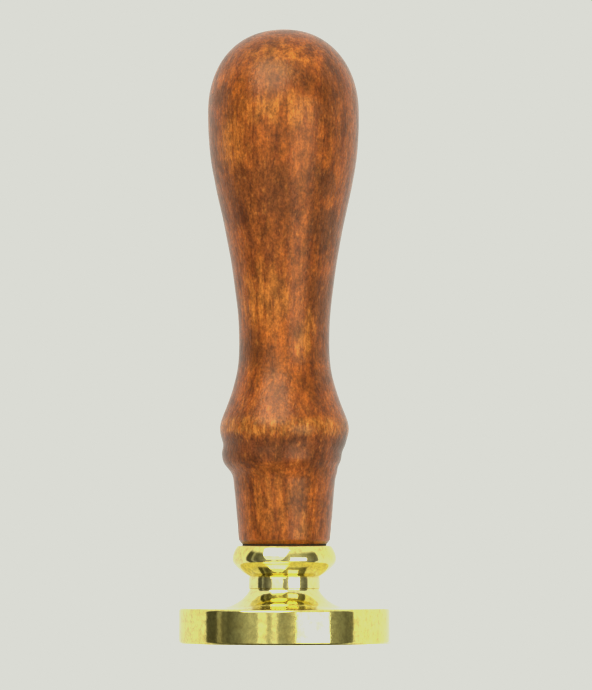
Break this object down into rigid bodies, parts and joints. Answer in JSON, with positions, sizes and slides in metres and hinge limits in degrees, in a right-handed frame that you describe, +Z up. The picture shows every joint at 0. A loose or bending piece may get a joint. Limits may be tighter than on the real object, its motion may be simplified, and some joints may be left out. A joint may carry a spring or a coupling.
{
  "type": "wax seal stamp",
  "caption": "Sealing-wax hand stamp: a turned wooden handle that unscrews, over a thin washer, from a turned brass head with an engraved round face.",
  "frame": {"origin": "centre of the stamping face, the face the stamp stands on", "axes": "+Z up the handle, along the turning axis of every piece; +X to the right and +Y away, seen from the front"},
  "size_m": [0.03, 0.03, 0.0871],
  "materials": {
    "polished_brass": "turned and polished",
    "plated_steel": "bright zinc plate",
    "black_washer": "matt",
    "stained_wood": "stained and satin lacquered"
  },
  "bodies": {
    "head": {"brass_head": "polished_brass", "threaded_stud": "plated_steel"},
    "washer": {"washer": "black_washer"},
    "handle": {"wooden_handle": "stained_wood", "threaded_insert": "plated_steel"}
  },
  "joints": [
    {"name": "unscrew_turn", "type": "hinge", "parent": "head", "child": "washer", "pos_m": [0, 0, 0.01385], "axis": [0, 0, 1], "range_deg": [0, 3600]},
    {"name": "unscrew_lift", "type": "slide", "parent": "washer", "child": "handle", "axis": [0, 0, 1], "range_m": [0, 0.01]}
  ],
  "couplings": [
    {"joint": "unscrew_lift", "follows": "unscrew_turn", "m_per_rad": 0.00015915}
  ]
}
